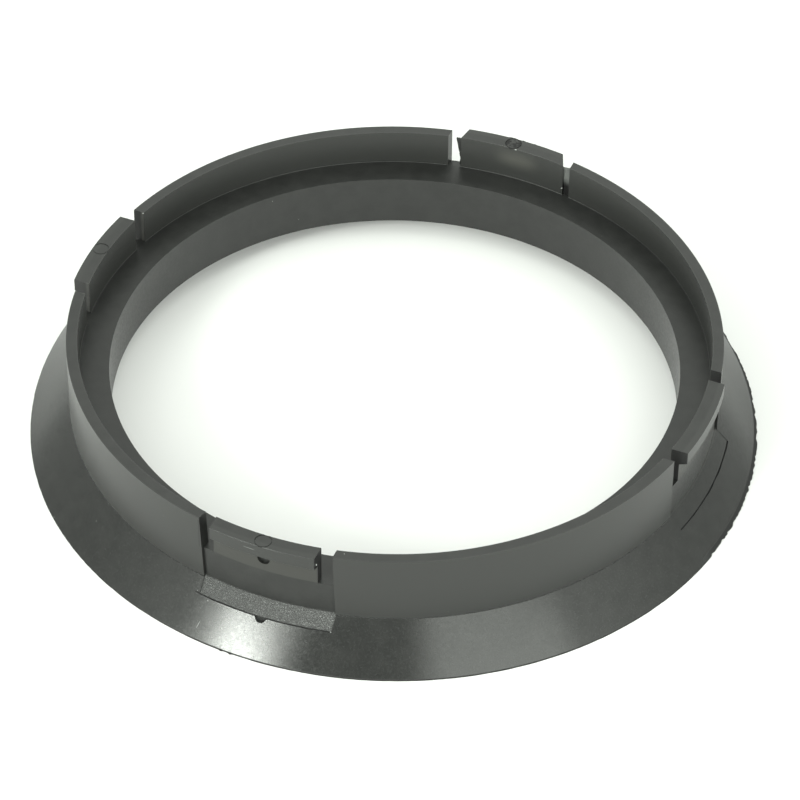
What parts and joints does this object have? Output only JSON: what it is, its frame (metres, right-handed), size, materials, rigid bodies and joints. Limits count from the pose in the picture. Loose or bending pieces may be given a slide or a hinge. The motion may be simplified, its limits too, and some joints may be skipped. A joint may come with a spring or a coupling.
{
  "type": "hub centric ring",
  "caption": "Flanged plastic centring ring with a snap-in collar, a conical seat and a plain bore, which fills the gap between a wheel's centre bore and a smaller hub.",
  "frame": {"origin": "on the ring's axis, in the plane of the flange's underside", "axes": "+Z along the ring's axis from the flange towards the snap tabs; -Y faces the camera of the picture"},
  "size_m": [0.0816, 0.0816, 0.0131],
  "materials": {
    "black_plastic": "semi-gloss moulded black plastic"
  },
  "bodies": {
    "root": {"hub_ring": "black_plastic"}
  },
  "joints": []
}
